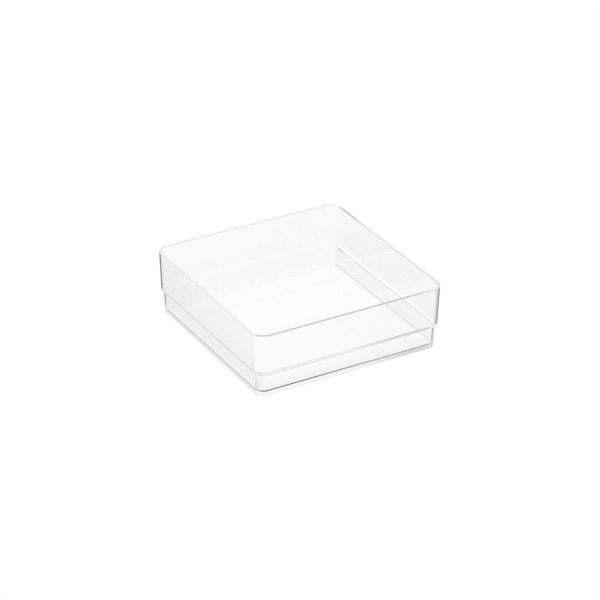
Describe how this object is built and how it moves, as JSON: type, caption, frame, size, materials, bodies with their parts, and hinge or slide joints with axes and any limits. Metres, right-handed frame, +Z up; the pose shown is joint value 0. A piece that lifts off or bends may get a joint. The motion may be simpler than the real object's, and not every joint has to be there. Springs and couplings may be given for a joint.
{
  "type": "drawer organizer tray",
  "caption": "Clear open-topped square tray with leaning walls, rounded corners and a step all round, so that trays stack; holds small things in a drawer.",
  "frame": {"origin": "middle of the flat underside", "axes": "+Z up out of the open top; X and Y square to the side walls, which are all alike"},
  "size_m": [0.1524, 0.1524, 0.0496],
  "materials": {
    "clear_plastic": "clear and glossy, as moulded in polystyrene"
  },
  "bodies": {
    "root": {"tray": "clear_plastic"}
  },
  "joints": []
}
